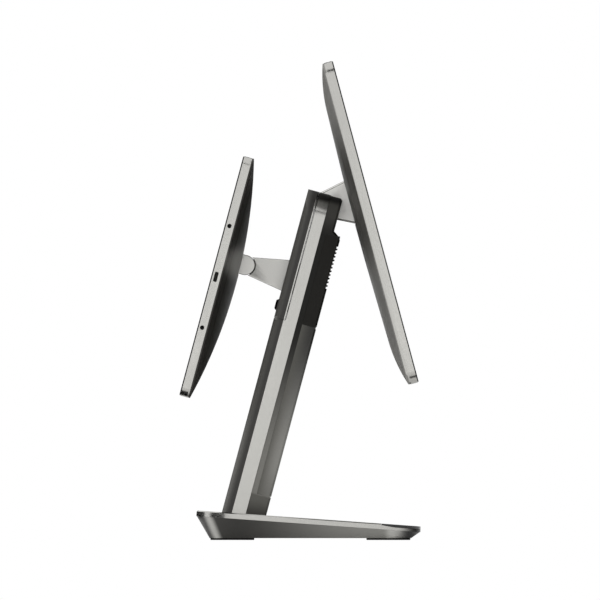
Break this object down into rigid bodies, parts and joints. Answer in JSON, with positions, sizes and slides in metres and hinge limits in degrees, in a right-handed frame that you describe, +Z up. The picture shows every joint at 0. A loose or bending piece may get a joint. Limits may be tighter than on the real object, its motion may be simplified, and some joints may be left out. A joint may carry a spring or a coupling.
{
  "type": "pos touchscreen terminal",
  "caption": "Countertop checkout terminal: a slab column leaning over a low sloped base, with a large tilting operator touchscreen in front and a smaller tilting customer screen behind.",
  "frame": {"origin": "centre of the bounding box's bottom face, on the counter under the terminal", "axes": "+Z up, -Y towards the operator (the large screen faces -Y and up), +Y towards the customer, X along the screens' width"},
  "size_m": [0.33, 0.1835, 0.3641],
  "materials": {
    "silver_anodised": "satin anodised",
    "silver_cast": "satin silver paint on die casting",
    "graphite_plastic": "fine moulded texture",
    "skirt_plastic": "fine moulded texture",
    "black_heatsink": "black powder coat",
    "black_gloss": "polished",
    "button_plastic": "satin",
    "black_rubber": "matte",
    "screen_glass": "polished, black backed",
    "lcd_panel": "satin",
    "ballast_iron": "painted",
    "zinc_steel": "zinc plated",
    "black_screws": "black oxide",
    "circuit_board": "solder mask",
    "socket_metal": "nickel plated",
    "spreader_aluminium": "milled"
  },
  "bodies": {
    "stand": {"base_top_plate": "silver_anodised", "base_shell": "skirt_plastic", "base_weight": "ballast_iron", "base_front_insert": "black_gloss", "rubber_feet": "black_rubber", "base_screws": "black_screws", "column_bolts": "black_screws", "column_frame": "silver_anodised", "front_housing": "graphite_plastic", "heatsink_cover": "black_heatsink", "cable_cover": "graphite_plastic", "upper_rear_cover": "graphite_plastic", "lower_rear_cover": "graphite_plastic", "rear_cover_trim": "silver_anodised", "button_leaf_spring": "zinc_steel", "mainboard": "circuit_board", "heat_spreader": "spreader_aluminium", "memory_module": "circuit_board", "storage_module": "circuit_board", "connector_block": "socket_metal", "board_screws": "black_screws", "head_hinge_brackets": "zinc_steel", "head_friction_discs": "zinc_steel", "hinge_bracket_screws": "black_screws", "rear_arm": "silver_cast", "rear_arm_screws": "black_screws"},
    "main_display": {"main_frame": "silver_anodised", "main_cover_glass": "screen_glass", "main_panel": "lcd_panel", "main_mount_plate": "zinc_steel", "main_controller_board": "circuit_board", "main_back_cover": "graphite_plastic", "main_port_socket": "socket_metal", "main_cover_screws": "black_screws", "main_mount_screws": "black_screws", "main_arm": "silver_cast", "head_hinge_shaft": "zinc_steel", "head_hinge_nuts": "zinc_steel"},
    "rear_display": {"rear_frame": "silver_anodised", "rear_cover_glass": "screen_glass", "rear_panel": "lcd_panel", "rear_mount_plate": "zinc_steel", "rear_controller_board": "circuit_board", "rear_back_cover": "graphite_plastic", "rear_port_socket": "socket_metal", "rear_cover_screws": "black_screws", "rear_mount_screws": "black_screws", "rear_knuckle": "silver_cast", "rear_hinge_shaft": "zinc_steel", "rear_friction_washers": "zinc_steel"},
    "button": {"release_button": "button_plastic"}
  },
  "joints": [
    {"name": "main_tilt", "type": "hinge", "parent": "stand", "child": "main_display", "pos_m": [0, -0.02007, 0.25514], "axis": [1, 0, 0], "range_deg": [-30, 15]},
    {"name": "rear_tilt", "type": "hinge", "parent": "stand", "child": "rear_display", "pos_m": [0, 0.04178, 0.20898], "axis": [1, 0, 0], "range_deg": [-15, 15]},
    {"name": "release_press", "type": "slide", "parent": "stand", "child": "button", "axis": [0, -0.9659, -0.2588], "range_m": [0, 0.0013], "stiffness_N_per_m": 700, "springref_m": -0.0006}
  ]
}
